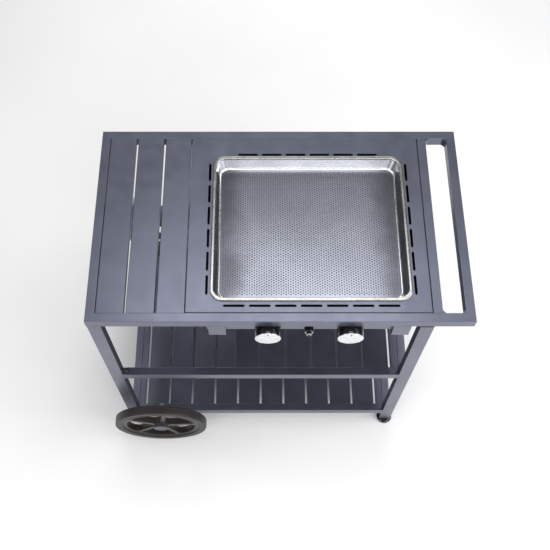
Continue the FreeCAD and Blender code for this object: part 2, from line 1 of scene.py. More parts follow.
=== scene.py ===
import json
import math
import bmesh
import bpy
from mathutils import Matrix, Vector


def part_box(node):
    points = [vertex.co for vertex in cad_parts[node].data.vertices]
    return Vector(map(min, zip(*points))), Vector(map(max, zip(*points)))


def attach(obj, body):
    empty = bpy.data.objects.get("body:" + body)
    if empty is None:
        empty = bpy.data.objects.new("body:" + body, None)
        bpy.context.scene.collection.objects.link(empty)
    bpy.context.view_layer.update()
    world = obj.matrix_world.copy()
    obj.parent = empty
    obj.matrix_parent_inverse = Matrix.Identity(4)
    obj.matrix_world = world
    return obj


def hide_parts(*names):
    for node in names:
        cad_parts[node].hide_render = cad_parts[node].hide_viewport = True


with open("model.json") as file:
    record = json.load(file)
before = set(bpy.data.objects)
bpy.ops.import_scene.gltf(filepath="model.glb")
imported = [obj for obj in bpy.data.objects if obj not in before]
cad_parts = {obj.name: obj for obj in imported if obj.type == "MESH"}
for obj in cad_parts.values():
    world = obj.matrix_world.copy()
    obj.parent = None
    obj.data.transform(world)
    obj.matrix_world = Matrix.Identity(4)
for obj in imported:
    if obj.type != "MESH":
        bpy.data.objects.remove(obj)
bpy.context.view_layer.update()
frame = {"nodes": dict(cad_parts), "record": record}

nodes = frame["nodes"]
scene = bpy.context.scene
print("frame loaded,", len(nodes), "nodes")


# inputs that are sockets are linked, and others are set as values
def put(tree, kind, inputs=None, **settings):
    node = tree.nodes.new(kind)
    for key, value in settings.items():
        setattr(node, key, value)
    for key, value in (inputs or {}).items():
        if isinstance(value, bpy.types.NodeSocket):
            tree.links.new(value, node.inputs[key])
        else:
            node.inputs[key].default_value = value
    return node


def calc(tree, operation, *values):
    return put(tree, "ShaderNodeMath", dict(enumerate(values)), operation=operation).outputs[0]


def vectorCalc(tree, operation, *values, output=0):
    node = put(tree, "ShaderNodeVectorMath", dict(enumerate(values)), operation=operation)
    return node.outputs[output]


# linear colour from six hexadecimal digits
def rgb(hexCode):
    parts = [int(hexCode[i:i + 2], 16) / 255 for i in (0, 2, 4)]
    return [((p + 0.055) / 1.055) ** 2.4 if p > 0.04 else p / 12.92 for p in parts] + [1.0]


def blank(name):
    material = bpy.data.materials.new(name)
    material.use_nodes = True
    tree = material.node_tree
    place = put(tree, "ShaderNodeTexCoord").outputs["Object"]
    return material, tree, tree.nodes["Principled BSDF"], place


# maps the middle of a noise onto a range
def spread(tree, value, low, high, start=0.3, end=0.7):
    return put(tree, "ShaderNodeMapRange", {"Value": value, "From Min": start, "From Max": end,
                                            "To Min": low, "To Max": high}).outputs["Result"]


def clouds(tree, place, scale, detail=3.0, stretch=(1, 1, 1)):
    if tuple(stretch) != (1, 1, 1):
        place = put(tree, "ShaderNodeMapping", {"Vector": place, "Scale": stretch}).outputs["Vector"]
    noise = put(tree, "ShaderNodeTexNoise", {"Vector": place, "Scale": scale, "Detail": detail})
    return noise.outputs["Fac"]


def twoTone(tree, value, look, start=0.35, end=0.65):
    ramp = put(tree, "ShaderNodeValToRGB", {"Fac": value})
    for element, tone, position in zip(ramp.color_ramp.elements, ("dark", "light"), (start, end)):
        element.position = position
        element.color = rgb(look[tone])
    return ramp.outputs["Color"]


def relief(tree, shader, height, strength, depth):
    bump = put(tree, "ShaderNodeBump", {"Height": height, "Strength": strength, "Distance": depth})
    tree.links.new(bump.outputs["Normal"], shader.inputs["Normal"])


usualFinish = {"toneScale": 9.0, "patchScale": 30.0, "stretch": (1, 1, 1), "grainDetail": 2.0,
               "grainDepth": 0.0003, "fixed": {}}


# two-tone base, roughness that wanders, and a fine grain in relief
def surface(name, own):
    look = {**usualFinish, **own}
    material, tree, shader, place = blank(name)
    tone = clouds(tree, place, look["toneScale"])
    tree.links.new(twoTone(tree, tone, look), shader.inputs["Base Color"])
    patch = clouds(tree, place, look["patchScale"])
    tree.links.new(spread(tree, patch, *look["rough"]), shader.inputs["Roughness"])
    grain = clouds(tree, place, look["grainScale"], look["grainDetail"], look["stretch"])
    relief(tree, shader, grain, look["grain"], look["grainDepth"])
    for key, value in look["fixed"].items():
        shader.inputs[key].default_value = value
    return material


finishes = {
    "powderCoat": {"dark": "676a79", "light": "6e7180", "rough": (0.29, 0.36), "grainScale": 700.0,
                   "grain": 0.15, "fixed": {"Metallic": 0.8, "Specular IOR Level": 0.5}},
    "panPolished": {"dark": "d4d5d7", "light": "e3e4e6", "rough": (0.15, 0.24), "grainScale": 900.0,
                    "stretch": (0.02, 1, 1), "grain": 0.10, "fixed": {"Metallic": 1.0}},
    "panRolled": {"dark": "a6a6a3", "light": "b6b6b2", "rough": (0.22, 0.30), "grainScale": 900.0,
                  "grain": 0.05, "toneScale": 14.0, "fixed": {"Metallic": 1.0}},
    "boxSteel": {"dark": "2b2c2e", "light": "3a3b3e", "rough": (0.40, 0.55), "grainScale": 260.0,
                 "grain": 0.10, "fixed": {"Metallic": 0.7}},
    # domes pressed from the pan's own sheet, coloured darker than the floor around them: painted shade
    "pipShadedSteel": {"dark": "4d4f58", "light": "575963", "rough": (0.32, 0.40), "grainScale": 900.0,
                 "grain": 0.05, "fixed": {"Metallic": 1.0}},
    "ceramic": {"dark": "e7e3d8", "light": "f0ede4", "rough": (0.22, 0.34), "grainScale": 800.0,
                "grain": 0.05},
    "brass": {"dark": "b08d45", "light": "c7a45b", "rough": (0.24, 0.36), "grainScale": 500.0,
              "grain": 0.08, "fixed": {"Metallic": 1.0}},
    "pipeSteel": {"dark": "7d8084", "light": "93969a", "rough": (0.34, 0.48), "grainScale": 350.0,
                  "stretch": (0.1, 1, 1), "grain": 0.10, "fixed": {"Metallic": 1.0}},
    "knobBlack": {"dark": "101012", "light": "161618", "rough": (0.10, 0.18), "grainScale": 300.0,
                  "grain": 0.03, "fixed": {"Coat Weight": 0.4, "Coat Roughness": 0.06}},
    "chrome": {"dark": "dcdde0", "light": "e6e7ea", "rough": (0.05, 0.09), "grainScale": 300.0,
               "grain": 0.02, "fixed": {"Metallic": 1.0}},
    "footPlastic": {"dark": "131416", "light": "1a1b1d", "rough": (0.16, 0.26), "grainScale": 900.0,
                    "grain": 0.08},
    "tyreRubber": {"dark": "1c1816", "light": "25201e", "rough": (0.38, 0.50), "grainScale": 1300.0,
                   "grain": 0.25, "toneScale": 24.0},
    "rimPlastic": {"dark": "292523", "light": "332e2c", "rough": (0.30, 0.42), "grainScale": 1000.0,
                   "grain": 0.15, "toneScale": 18.0},
    "capPlastic": {"dark": "30313a", "light": "393a44", "rough": (0.26, 0.36), "grainScale": 900.0,
                   "grain": 0.10},
    "zincSteel": {"dark": "9fa2a6", "light": "b9bbbe", "rough": (0.26, 0.40), "grainScale": 220.0,
                  "grain": 0.10, "toneScale": 60.0, "fixed": {"Metallic": 1.0}},
}
materials = {name: surface(name, look) for name, look in finishes.items()}

brushed = {"line": 2600.0, "length": 9.0, "lineDetail": 4.0, "rough": (0.25, 0.33), "depth": 0.00001,
           "strength": 0.2, "dark": "8e909b", "light": "9c9ea9", "wipe": 6.0, "wipeDetail": 4.0,
           "wallShadeStart": 0.58, "wallShadeEnd": 0.94, "wallShadeTone": 0.36, "wander": 0.16}


# rolled sheet with fine lines from side to side; its colour is darkened towards its two ends, painted
# shade near the side walls
def brushedFloor():
    material, tree, shader, place = blank("panBrushed")
    lines = clouds(tree, place, 1.0, brushed["lineDetail"], (brushed["length"], brushed["line"], 1.0))
    wipe = clouds(tree, place, brushed["wipe"], brushed["wipeDetail"])
    low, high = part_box("griddle_pan")
    scale = 2 / (high.x - low.x)
    centred = put(tree, "ShaderNodeMapping", {"Vector": place, "Scale": (scale, scale, scale),
                                              "Location": (-scale * (low.x + high.x) / 2, 0, 0)})
    across = put(tree, "ShaderNodeSeparateXYZ", {0: centred.outputs["Vector"]}).outputs["X"]
    patch = spread(tree, wipe, -brushed["wander"], brushed["wander"])
    away = calc(tree, "ADD", calc(tree, "ABSOLUTE", across), patch)
    # painted shade: the base colour darkens towards the pan's left and right walls
    tone = put(tree, "ShaderNodeMapRange", {"Value": away, "From Min": brushed["wallShadeStart"],
                                            "From Max": brushed["wallShadeEnd"], "To Min": 1.0,
                                            "To Max": brushed["wallShadeTone"]},
               interpolation_type="SMOOTHSTEP").outputs["Result"]
    base = put(tree, "ShaderNodeVectorMath", {0: twoTone(tree, wipe, brushed), "Scale": tone},
               operation="SCALE").outputs[0]
    tree.links.new(base, shader.inputs["Base Color"])
    tree.links.new(spread(tree, lines, *brushed["rough"]), shader.inputs["Roughness"])
    relief(tree, shader, lines, brushed["strength"], brushed["depth"])
    shader.inputs["Metallic"].default_value = 1.0
    return material


spun = {"rings": 5200.0, "smear": 90.0, "dark": "dedfe1", "light": "ececee", "rough": (0.22, 0.34),
        "strength": 0.25, "depth": 0.00005}


# brushed in rings: each point of a knob's face knows how far it is from the middle
def spunMetal():
    material, tree, shader, place = blank("spunMetal")
    ring = put(tree, "ShaderNodeAttribute", attribute_name="ringRadius").outputs["Fac"]
    spot = put(tree, "ShaderNodeCombineXYZ", {"X": calc(tree, "MULTIPLY", ring, spun["rings"])}).outputs[0]
    rings = clouds(tree, spot, 1.0)
    smear = clouds(tree, place, spun["smear"])
    tree.links.new(twoTone(tree, smear, spun), shader.inputs["Base Color"])
    tree.links.new(spread(tree, rings, *spun["rough"]), shader.inputs["Roughness"])
    relief(tree, shader, rings, spun["strength"], spun["depth"])
    shader.inputs["Metallic"].default_value = 1.0
    return material


materials["panBrushed"] = brushedFloor()
materials["spunMetal"] = spunMetal()
print("finishes made:", len(materials))


# each axis: the two directions across it, and its own
axes = {
    "X": (Vector((0, 1, 0)), Vector((0, 0, 1)), Vector((1, 0, 0))),
    "Y": (Vector((1, 0, 0)), Vector((0, 0, 1)), Vector((0, 1, 0))),
    "Z": (Vector((1, 0, 0)), Vector((0, 1, 0)), Vector((0, 0, 1))),
}


# outline of (a, b, radius): every corner with a radius becomes an arc
def roundCorners(outline, steps=6, closed=True):
    result = []
    for i, (a, b, radius) in enumerate(outline):
        here = Vector((a, b))
        isEnd = not closed and i in (0, len(outline) - 1)
        if radius <= 0 or isEnd:
            result.append(here)
            continue
        before = Vector(outline[i - 1][:2]) - here
        after = Vector(outline[(i + 1) % len(outline)][:2]) - here
        half = before.angle(after) / 2
        cut = min(radius / math.tan(half), 0.49 * before.length, 0.49 * after.length)
        radius = cut * math.tan(half)
        inward = (before.normalized() + after.normalized()).normalized()
        centre = here + inward * radius / math.sin(half)
        start = here + before.normalized() * cut - centre
        end = here + after.normalized() * cut - centre
        sweep = start.angle(end)
        for k in range(steps + 1):
            t = k / steps
            result.append(centre + (start * math.sin((1 - t) * sweep) + end * math.sin(t * sweep))
                          / math.sin(sweep))
    return result


def circle(radius, along, place, axis, steps):
    u, v, w = axes[axis]
    place = Vector(place) + w * along
    ring = []
    for k in range(steps):
        angle = 2 * math.pi * k / steps
        ring.append(place + u * radius * math.cos(angle) + v * radius * math.sin(angle))
    return ring


# skins a row of rings; an open row is capped at both ends
def loft(shape, rings, closed=False):
    made = [[shape.verts.new(point) for point in ring] for ring in rings]
    pairs = list(zip(made, made[1:]))
    if closed:
        pairs.append((made[-1], made[0]))
    faces = []
    for a, b in pairs:
        for k in range(len(a)):
            n = (k + 1) % len(a)
            faces.append(shape.faces.new((a[k], a[n], b[n], b[k])))
    if not closed:
        faces.append(shape.faces.new(made[0]))
        faces.append(shape.faces.new(made[-1]))
    bmesh.ops.recalc_face_normals(shape, faces=faces)
    return faces


# outline of (radius, along, corner), turned about an axis through place
def turned(shape, outline, place, axis="Y", steps=72, closed=False, arc=6):
    profile = roundCorners(outline, arc, closed)
    return loft(shape, [circle(r, along, place, axis, steps) for r, along in profile], closed)


def newPiece(name, shape, *finishNames, sharp=32):
    mesh = bpy.data.meshes.new(name)
    shape.to_mesh(mesh)
    shape.free()
    for finishName in finishNames:
        mesh.materials.append(materials[finishName])
    mesh.shade_smooth()
    mesh.set_sharp_from_angle(angle=math.radians(sharp))
    piece = bpy.data.objects.new(name, mesh)
    scene.collection.objects.link(piece)
    return piece


def fit(piece, body, slot, *replaced):
    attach(piece, body)
    if replaced:
        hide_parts(*replaced)


def middle(node):
    low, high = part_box(node)
    return (low + high) / 2


# geometry node tree with named inputs; gives the tree and its input sockets
def newTree(name, inputs):
    tree = bpy.data.node_groups.new(name, "GeometryNodeTree")
    tree.interface.new_socket(name="Geometry", in_out="INPUT", socket_type="NodeSocketGeometry")
    for label, kind in inputs:
        tree.interface.new_socket(name=label, in_out="INPUT", socket_type="NodeSocket" + kind)
    tree.interface.new_socket(name="Geometry", in_out="OUTPUT", socket_type="NodeSocketGeometry")
    return tree, put(tree, "NodeGroupInput").outputs


def endTree(tree, geometry, material):
    real = put(tree, "GeometryNodeRealizeInstances", {"Geometry": geometry}).outputs[0]
    painted = put(tree, "GeometryNodeSetMaterial", {"Geometry": real, "Material": material}).outputs[0]
    put(tree, "NodeGroupOutput", {"Geometry": painted})


# runs the tree on a mesh and keeps the result as a plain mesh
def grow(name, tree, values, start=None, sharp=32):
    mesh = start or bpy.data.meshes.new(name + "Start")
    piece = bpy.data.objects.new(name, mesh)
    scene.collection.objects.link(piece)
    modifier = piece.modifiers.new("grow", "NODES")
    modifier.node_group = tree
    for item in tree.interface.items_tree:
        if item.in_out == "INPUT" and item.name in values:
            modifier[item.identifier] = values[item.name]
    bpy.context.view_layer.update()
    evaluated = piece.evaluated_get(bpy.context.evaluated_depsgraph_get())
    plain = bpy.data.meshes.new_from_object(evaluated)
    piece.modifiers.remove(modifier)
    piece.data = plain
    plain.name = name
    plain.shade_smooth()
    plain.set_sharp_from_angle(angle=math.radians(sharp))
    return piece


cameraSettings = {"place": (-0.03235, -1.1304, 2.8711), "tilt": 25.75, "lens": 53.93,
                  "sensor": 36, "shiftX": 0.02364, "shiftY": 0.00909, "clipEnd": 60}


def makeCamera():
    data = bpy.data.cameras.new("camera")
    data.sensor_width = cameraSettings["sensor"]
    data.lens = cameraSettings["lens"]
    data.shift_x = cameraSettings["shiftX"]
    data.shift_y = cameraSettings["shiftY"]
    data.clip_end = cameraSettings["clipEnd"]
    camera = bpy.data.objects.new("camera", data)
    camera.location = cameraSettings["place"]
    camera.rotation_euler = (math.radians(cameraSettings["tilt"]), 0, 0)
    scene.collection.objects.link(camera)
    scene.camera = camera


lightSettings = {
    "world": 0.2,
    "softBoxes": [
        {"name": "overhead", "place": (0.1, 0.55, 3.9), "aim": (0.1, 0.55, 0.0), "size": (2.1, 1.9),
         "power": 40.0},
        {"name": "left", "place": (-3.2, 0.0, 2.6), "aim": (0.0, 0.0, 0.6), "size": (2.0, 2.0),
         "power": 15.0},
        {"name": "right", "place": (3.2, -0.5, 2.6), "aim": (0.0, 0.0, 0.6), "size": (2.0, 2.0),
         "power": 66.0},
        {"name": "frontRight", "place": (2.4, -2.6, 2.4), "aim": (0.0, 0.0, 0.6), "size": (2.0, 2.0),
         "power": 54.0},
        {"name": "frontLeft", "place": (-2.0, -2.8, 2.4), "aim": (0.0, 0.0, 0.6), "size": (2.0, 2.0),
         "power": 42.0},
        {"name": "back", "place": (0.0, 3.4, 2.4), "aim": (0.0, 0.0, 0.6), "size": (2.4, 2.0),
         "power": 46.0},
        {"name": "front", "place": (0.4, -3.6, 2.1), "aim": (0.0, 0.0, 0.8), "size": (1.8, 0.9),
         "power": 30.0},
    ],
}


def makeLight():
    world = bpy.data.worlds.new("studio")
    world.use_nodes = True
    background = world.node_tree.nodes["Background"]
    background.inputs["Color"].default_value = (1, 1, 1, 1)
    background.inputs["Strength"].default_value = lightSettings["world"]
    scene.world = world
    for box in lightSettings["softBoxes"]:
        data = bpy.data.lights.new(box["name"], "AREA")
        data.shape = "RECTANGLE"
        data.size, data.size_y = box["size"]
        data.energy = box["power"]
        light = bpy.data.objects.new(box["name"], data)
        light.location = box["place"]
        towards = Vector(box["aim"]) - Vector(box["place"])
        light.rotation_euler = towards.to_track_quat("-Z", "Y").to_euler()
        scene.collection.objects.link(light)


floorSettings = {"half": 12.0, "drop": 0.0006, "dark": "f2f2f3", "light": "fafafa", "toneScale": 0.8,
                 "rough": 0.9, "shine": 0.1}


def makeFloor():
    half = floorSettings["half"]
    shape = bmesh.new()
    corners = [(-half, -half), (half, -half), (half, half), (-half, half)]
    shape.faces.new([shape.verts.new((x, y, -floorSettings["drop"])) for x, y in corners])
    mesh = bpy.data.meshes.new("floor")
    shape.to_mesh(mesh)
    shape.free()
    material, tree, shader, place = blank("floorPaper")
    tone = clouds(tree, place, floorSettings["toneScale"])
    tree.links.new(twoTone(tree, tone, floorSettings), shader.inputs["Base Color"])
    shader.inputs["Roughness"].default_value = floorSettings["rough"]
    shader.inputs["Specular IOR Level"].default_value = floorSettings["shine"]
    mesh.materials.append(material)
    floor = bpy.data.objects.new("floor", mesh)
    scene.collection.objects.link(floor)


makeCamera()
makeLight()
makeFloor()
scene.view_settings.view_transform = "Standard"
print("camera, light and floor made")


# the frame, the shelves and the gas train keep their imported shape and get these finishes
slotFinishes = {
    "frame_paint": "powderCoat", "pan_steel": "panPolished", "box_steel": "boxSteel",
    "ceramic": "ceramic", "brass": "brass", "pipe_steel": "pipeSteel", "knob_black": "knobBlack",
    "knob_metal": "spunMetal", "chrome": "chrome", "foot_plastic": "footPlastic",
    "tyre_rubber": "tyreRubber", "rim_plastic": "rimPlastic", "cap_plastic": "capPlastic",
    "zinc_steel": "zincSteel",
}


def paintNodes():
    for entry in frame["record"]["subparts"]:
        piece = nodes[entry["node"]]
        material = materials[slotFinishes[entry["material_slot"]]]
        if not piece.material_slots:
            piece.data.materials.append(material)
        for slot in piece.material_slots:
            slot.material = material


paintNodes()
print("packed nodes painted")


pan = {
    "wall": 0.002, "bead": 0.009, "beadRound": 0.0027, "lean": 0.010, "foot": 0.0045, "corner": 0.033,
    "cornerShrink": 0.45, "cornerSteps": 14, "neck": 0.001, "neckRound": 0.002, "gap": 0.0001,
    "lipRound": 0.0016, "underRound": 0.0008, "roundSteps": 7, "level": 0.999, "floorSlack": 0.0005,
    "rolledFrom": 0.002, "sharp": 40,
}


# rounded rectangle, counter-clockwise from the right-hand side
def roundedRing(place, width, depth, corner, z, steps):
    ring = []
    for index, (sx, sy) in enumerate(((1, -1), (1, 1), (-1, 1), (-1, -1))):
        cx = place.x + sx * (width / 2 - corner)
        cy = place.y + sy * (depth / 2 - corner)
        for k in range(steps + 1):
            angle = math.radians(-90 + 90 * index + 90 * k / steps)
            ring.append(Vector((cx + corner * math.cos(angle), cy + corner * math.sin(angle), z)))
    return ring


def makePan():
    low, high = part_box("griddle_pan")
    place = (low + high) / 2
    width = high.x - low.x
    depth = high.y - low.y
    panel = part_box("griddle_panel")[1].z
    floor = low.z + pan["wall"]
    inner = pan["bead"] + pan["lean"]
    flat = inner + 2 * pan["foot"]
    profile = [
        (flat, floor, 0), (inner, floor, pan["foot"]),
        (pan["bead"], panel + pan["neck"], pan["neckRound"]),
        (pan["bead"], high.z, pan["beadRound"]), (0, high.z, pan["beadRound"]),
        (0, panel + pan["gap"], pan["lipRound"]),
        (pan["bead"] - pan["wall"], panel + pan["gap"], pan["underRound"]),
        (inner - pan["wall"], low.z, pan["foot"]), (flat, low.z, 0),
    ]
    rings = []
    for inset, z in roundCorners(profile, pan["roundSteps"], closed=False):
        corner = pan["corner"] - pan["cornerShrink"] * inset
        rings.append(roundedRing(place, width - 2 * inset, depth - 2 * inset, corner, z,
                                 pan["cornerSteps"]))
    shape = bmesh.new()
    for face in loft(shape, rings):
        height = face.calc_center_median().z
        if abs(face.normal.z) > pan["level"] and height < floor + pan["floorSlack"]:
            face.material_index = 1  # embossed floor and its underside
        elif height > panel + pan["rolledFrom"]:
            face.material_index = 2  # rolled bead
    piece = newPiece("griddlePan", shape, "panPolished", "panBrushed", "panRolled", sharp=pan["sharp"])
    fit(piece, "griddle", "pan_steel", "griddle_pan")
    return place, width - 2 * flat, depth - 2 * flat, floor


pips = {"pitch": 0.00755, "column": 0.00654, "radius": 0.0022, "topShare": 0.45, "height": 0.00045,
        "sides": 10, "corner": 0.016, "slack": 0.0003, "margin": 0.0038, "sunk": 0.00002, "sharp": 80}


# offset columns of low domes inside a rounded rectangle round the middle
def pipTree():
    tree, given = newTree("pips", [("Centre", "Vector"), ("Half", "Vector"), ("Pitch", "Float"),
                                   ("Column", "Float"), ("Radius", "Float"), ("Height", "Float"),
                                   ("Corner", "Float"), ("Columns", "Int"), ("Rows", "Int")])
    half = put(tree, "ShaderNodeSeparateXYZ", {0: given["Half"]}).outputs
    wide = calc(tree, "MULTIPLY", half["X"], 2.0)
    tall = calc(tree, "MULTIPLY", half["Y"], 2.0)
    grid = put(tree, "GeometryNodeMeshGrid", {"Size X": wide, "Size Y": tall,
                                              "Vertices X": given["Columns"],
                                              "Vertices Y": given["Rows"]}).outputs["Mesh"]
    spot = put(tree, "GeometryNodeInputPosition").outputs[0]
    x = put(tree, "ShaderNodeSeparateXYZ", {0: spot}).outputs["X"]
    fromLeft = calc(tree, "ADD", x, half["X"])
    number = calc(tree, "ROUND", calc(tree, "DIVIDE", fromLeft, given["Column"]))
    odd = calc(tree, "MODULO", number, 2.0)
    step = calc(tree, "MULTIPLY", calc(tree, "MULTIPLY", odd, given["Pitch"]), 0.5)
    shift = put(tree, "ShaderNodeCombineXYZ", {"Y": step}).outputs[0]
    moved = put(tree, "GeometryNodeSetPosition", {"Geometry": grid, "Offset": shift}).outputs[0]

    # points past the rounded outline go
    away = vectorCalc(tree, "ABSOLUTE", spot)
    corner = put(tree, "ShaderNodeCombineXYZ", {"X": given["Corner"], "Y": given["Corner"]}).outputs[0]
    core = vectorCalc(tree, "SUBTRACT", given["Half"], corner)
    past = vectorCalc(tree, "MAXIMUM", vectorCalc(tree, "SUBTRACT", away, core), (0, 0, 0))
    reach = vectorCalc(tree, "LENGTH", past, output="Value")
    limit = calc(tree, "ADD", given["Corner"], pips["slack"])
    outside = calc(tree, "GREATER_THAN", reach, limit)
    kept = put(tree, "GeometryNodeDeleteGeometry", {"Geometry": moved, "Selection": outside}).outputs[0]

    # one dome: a cone in two steps, whose height is made to follow its radius
    topRadius = calc(tree, "MULTIPLY", given["Radius"], pips["topShare"])
    cone = put(tree, "GeometryNodeMeshCone", {"Vertices": pips["sides"], "Side Segments": 2,
                                              "Radius Top": topRadius, "Radius Bottom": given["Radius"],
                                              "Depth": given["Height"]}).outputs["Mesh"]
    flatSpot = vectorCalc(tree, "MULTIPLY", put(tree, "GeometryNodeInputPosition").outputs[0], (1, 1, 0))
    out = vectorCalc(tree, "LENGTH", flatSpot, output="Value")
    share = calc(tree, "POWER", calc(tree, "DIVIDE", out, given["Radius"]), 2.0)
    rise = calc(tree, "MULTIPLY", calc(tree, "SUBTRACT", 1.0, share), given["Height"])
    up = put(tree, "ShaderNodeCombineXYZ", {"Z": rise}).outputs[0]
    domePlace = vectorCalc(tree, "ADD", flatSpot, up)
    dome = put(tree, "GeometryNodeSetPosition", {"Geometry": cone, "Position": domePlace}).outputs[0]

    placed = put(tree, "GeometryNodeTransform", {"Geometry": kept,
                                                 "Translation": given["Centre"]}).outputs[0]
    copies = put(tree, "GeometryNodeInstanceOnPoints", {"Points": placed, "Instance": dome}).outputs[0]
    # the domes get the darker steel, painted shade
    endTree(tree, copies, materials["pipShadedSteel"])
    return tree


def makePips(place, width, depth, floor):
    columns = int((width - 2 * pips["margin"]) / pips["column"])
    rows = int((depth - 2 * pips["margin"]) / pips["pitch"])
    halfX = columns * pips["column"] / 2
    halfY = rows * pips["pitch"] / 2
    values = {"Centre": (place.x, place.y, floor - pips["sunk"]), "Half": (halfX, halfY, 0.0),
              "Pitch": pips["pitch"], "Column": pips["column"], "Radius": pips["radius"],
              "Height": pips["height"], "Corner": pips["corner"], "Columns": columns + 1,
              "Rows": rows + 1}
    piece = grow("panPips", pipTree(), values, sharp=pips["sharp"])
    fit(piece, "griddle", "pan_steel")
    print("pan and pips made,", len(piece.data.polygons), "faces")


makePips(*makePan())


knob = {
    "pin": 0.0004, "steps": 96, "wall": 0.0025, "wallRound": 0.003, "frontWall": 0.005, "edge": 0.0016,
    "lipIn": 0.0008, "lipBack": 0.0012, "lipRound": 0.0004, "backRound": 0.0009, "coreRadius": 0.009,
    "coreRound": 0.002, "coreEdge": 0.0006, "holeRadius": 0.003, "holeFrom": 0.012, "holeEdge": 0.0003,
    "faceSunk": 0.0008, "faceBackEdge": 0.0004, "faceDome": 0.0006,
    # metal face: share of the radius, back from its front, corner
    "face": [(0.5, -0.00042, 0.02), (0.86, 0.0, 0.004), (0.9, 0.0004, 0.0008), (0.94, -0.0002, 0.001),
             (1.0, 0.0004, 0.0007)],
    "pointerWidth": 0.0032, "pointerLength": 0.011, "pointerMargin": 0.004, "pointerArc": 5,
    # pointer, level by level: share of its size, back from the face
    "pointerLevels": [(1.0, 0.0006), (1.0, -0.0004), (0.8, -0.0007)],
}


# gloss skirt: the outside, the open back and the core that grips the stem
def knobSkirt(side):
    low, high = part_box("knob_" + side)
    radius = (high.x - low.x) / 2
    inside = radius - knob["wall"]
    core = low.y + knob["frontWall"]
    holeEnd = low.y + knob["holeFrom"]
    outline = [
        (knob["pin"], low.y, 0), (radius - knob["lipIn"], low.y, knob["lipRound"]),
        (radius, low.y + knob["lipBack"], knob["edge"]),
        (radius, high.y, knob["backRound"]), (inside, high.y, knob["backRound"]),
        (inside, core, knob["wallRound"]), (knob["coreRadius"], core, knob["coreRound"]),
        (knob["coreRadius"], high.y, knob["coreEdge"]), (knob["holeRadius"], high.y, knob["holeEdge"]),
        (knob["holeRadius"], holeEnd, 0), (knob["pin"], holeEnd, 0),
    ]
    place = middle("knob_" + side)
    shape = bmesh.new()
    turned(shape, outline, (place.x, 0, place.z), steps=knob["steps"])
    piece = newPiece("knobSkirt_" + side, shape, "knobBlack")
    fit(piece, "knob_" + side, "knob_black", "knob_" + side)


# slightly domed metal face with a rolled lip
def knobFace(side):
    low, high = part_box("knob_cap_" + side)
    place = middle("knob_cap_" + side)
    radius = (high.x - low.x) / 2
    front = low.y + knob["faceSunk"]
    outline = [(knob["pin"], front - knob["faceDome"], 0)]
    outline += [(radius * share, front + back, corner) for share, back, corner in knob["face"]]
    outline += [(radius, high.y, knob["faceBackEdge"]), (knob["pin"], high.y, 0)]
    shape = bmesh.new()
    turned(shape, outline, (place.x, 0, place.z), steps=knob["steps"])
    piece = newPiece("knobFace_" + side, shape, "spunMetal")
    rings = piece.data.attributes.new("ringRadius", "FLOAT", "POINT")
    for index, vertex in enumerate(piece.data.vertices):
        rings.data[index].value = math.hypot(vertex.co.x - place.x, vertex.co.z - place.z)
    fit(piece, "knob_" + side, "knob_metal", "knob_cap_" + side)
    return place, radius, front


def knobPointer(side, place, radius, front):
    half = knob["pointerWidth"] / 2
    reach = knob["pointerLength"] / 2
    centre = place.z + radius - knob["pointerMargin"] - reach
    corners = [(-half, -reach, half), (half, -reach, half), (half, reach, half), (-half, reach, half)]
    flat = roundCorners(corners, knob["pointerArc"])
    rings = []
    for size, back in knob["pointerLevels"]:
        rings.append([Vector((place.x + a * size, front + back, centre + b * size)) for a, b in flat])
    shape = bmesh.new()
    loft(shape, rings)
    fit(newPiece("knobPointer_" + side, shape, "knobBlack"), "knob_" + side, "knob_black")


for side in ("left", "right"):
    knobSkirt(side)
    knobPointer(side, *knobFace(side))
print("knobs made")


igniter = {
    "pin": 0.0004, "steps": 64, "collar": 0.0124, "collarRound": 0.0014, "bore": 0.0077,
    "mouthRound": 0.0006, "barrel": 0.0095, "barrelRound": 0.001, "fascia": 0.017, "seat": 0.046,
    "edge": 0.0004,
    "ringGap": 0.0006, "ringBright": 0.0099, "ringBack": 0.0004, "ringRound": 0.0008,
    "ringCrease": 0.0003, "ringOuterRound": 0.0012, "ringBackRound": 0.0002,
    "buttonPin": 0.0003, "buttonSteps": 56, "buttonBright": 0.86, "buttonBrightDepth": 0.001,
    # button: share of the radius, back from its front, corner
    "button": [(0.62, 0.0006, 0.0006), (0.70, 0.0, 0.0008), (1.0, 0.0, 0.0012)],
    "dish": 0.0008, "buttonBackRound": 0.0006,
}


def makeIgniterBarrel(axis):
    low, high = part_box("igniter_body")
    bore, barrel, collar = igniter["bore"], igniter["barrel"], igniter["collar"]
    behind = low.y + igniter["fascia"]
    seat = low.y + igniter["seat"]
    edge = igniter["edge"]
    outline = [(bore, low.y, igniter["mouthRound"]), (collar, low.y, igniter["collarRound"]),
               (collar, behind, edge), (barrel, behind, edge), (barrel, high.y, igniter["barrelRound"]),
               (igniter["pin"], high.y, 0), (igniter["pin"], seat, 0), (bore, seat, edge)]
    shape = bmesh.new()
    turned(shape, outline, axis, steps=igniter["steps"], closed=True)
    fit(newPiece("igniterBarrel", shape, "knobBlack"), "frame", "knob_black", "igniter_body")


def makeIgniterRing(place, axis):
    low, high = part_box("igniter_bezel")
    outer = (high.x - low.x) / 2
    inner = igniter["bore"] + igniter["ringGap"]
    outline = [(inner, low.y, igniter["ringRound"]), (igniter["ringBright"], low.y, igniter["ringCrease"]),
               (outer, low.y + igniter["ringBack"], igniter["ringOuterRound"]),
               (outer, high.y, igniter["ringBackRound"]), (inner, high.y, igniter["ringBackRound"])]
    shape = bmesh.new()
    turned(shape, outline, axis, steps=igniter["steps"], closed=True)
    piece = newPiece("igniterRing", shape, "chrome", "knobBlack")
    for face in piece.data.polygons:
        if math.hypot(face.center.x - place.x, face.center.z - place.z) > igniter["ringBright"]:
            face.material_index = 1
    fit(piece, "frame", "chrome", "igniter_bezel")


